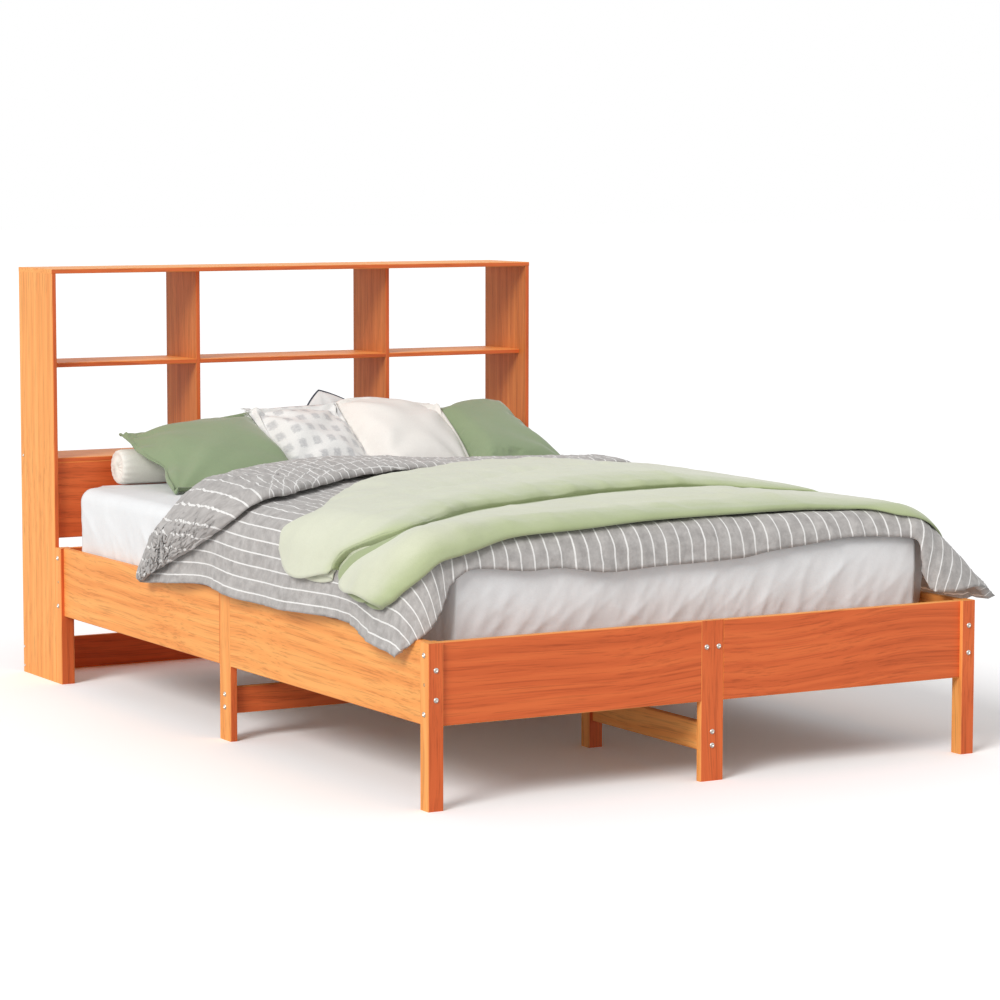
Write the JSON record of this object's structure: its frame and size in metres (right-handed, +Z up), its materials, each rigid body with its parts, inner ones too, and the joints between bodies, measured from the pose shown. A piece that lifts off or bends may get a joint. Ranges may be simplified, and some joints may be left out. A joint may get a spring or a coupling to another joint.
{
  "type": "bookcase headboard bed",
  "caption": "Double bed with a wooden rail frame on legs, an open bookcase as its headboard, a mattress, and its duvet, throw, pillows and cushions in place.",
  "frame": {"origin": "on the floor under the middle of the bed frame, midway between its sides and between the outer faces of its foot and its bookcase", "axes": "+X across the bed towards the right-hand side seen from the foot, +Y along the bed from the foot to the bookcase, +Z up"},
  "size_m": [1.6318, 2.2902, 1.097],
  "materials": {
    "frame_wood": "clear-lacquered orange-brown wood, satin",
    "hidden_wood": "plain planed timber, matt",
    "bookcase_wood": "clear-lacquered orange-brown wood board, satin",
    "dowel_wood": "plain turned timber, matt",
    "bolt_steel": "zinc-plated steel, satin",
    "bracket_steel": "zinc-plated sheet steel, satin",
    "mattress_cloth": "white cotton cover",
    "duvet_cloth": "warm grey cotton with thin pale lines",
    "throw_cloth": "pale sage woven cloth",
    "green_cloth": "sage green cotton",
    "white_cloth": "white cotton with dark piping",
    "plaid_cloth": "white and pale grey gingham, fringed",
    "cream_cloth": "cream cotton"
  },
  "bodies": {
    "root": {"foot_left_leg": "frame_wood", "foot_right_leg": "frame_wood", "head_left_leg": "frame_wood", "head_right_leg": "frame_wood", "foot_mid_leg": "frame_wood", "head_mid_leg": "frame_wood", "left_mid_leg": "frame_wood", "right_mid_leg": "frame_wood", "foot_left_side_rail": "frame_wood", "foot_right_side_rail": "frame_wood", "head_left_side_rail": "frame_wood", "head_right_side_rail": "frame_wood", "foot_left_end_rail": "frame_wood", "foot_right_end_rail": "frame_wood", "head_left_end_rail": "frame_wood", "head_right_end_rail": "frame_wood", "foot_splice_block": "hidden_wood", "head_splice_block": "hidden_wood", "left_splice_block": "hidden_wood", "right_splice_block": "hidden_wood", "left_slat_ledge": "hidden_wood", "right_slat_ledge": "hidden_wood", "foot_centre_bearer": "hidden_wood", "head_centre_bearer": "hidden_wood", "foot_centre_leg": "frame_wood", "head_centre_leg": "frame_wood", "middle_centre_leg": "frame_wood", "foot_stretcher": "frame_wood", "head_stretcher": "frame_wood", "left_stretcher": "frame_wood", "right_stretcher": "frame_wood", "left_slats": "hidden_wood", "right_slats": "hidden_wood", "left_side_panel": "bookcase_wood", "right_side_panel": "bookcase_wood", "top_board": "bookcase_wood", "lower_shelf": "bookcase_wood", "left_divider": "bookcase_wood", "right_divider": "bookcase_wood", "left_middle_shelf": "bookcase_wood", "right_middle_shelf": "bookcase_wood", "centre_middle_shelf": "bookcase_wood", "backrest_panel": "bookcase_wood", "base_rail": "bookcase_wood", "end_rail_bolts": "bolt_steel", "side_rail_bolts": "bolt_steel", "mid_leg_bolts": "bolt_steel", "leg_dowels": "dowel_wood", "cross_dowels": "bolt_steel", "bookcase_screws": "bolt_steel", "corner_brackets": "bracket_steel", "mattress": "mattress_cloth", "duvet": "duvet_cloth", "throw": "throw_cloth", "left_green_pillow": "green_cloth", "right_green_pillow": "green_cloth", "back_white_pillow": "white_cloth", "plaid_cushion": "plaid_cloth", "cream_cushion": "cream_cloth", "bolster": "cream_cloth"}
  },
  "joints": []
}
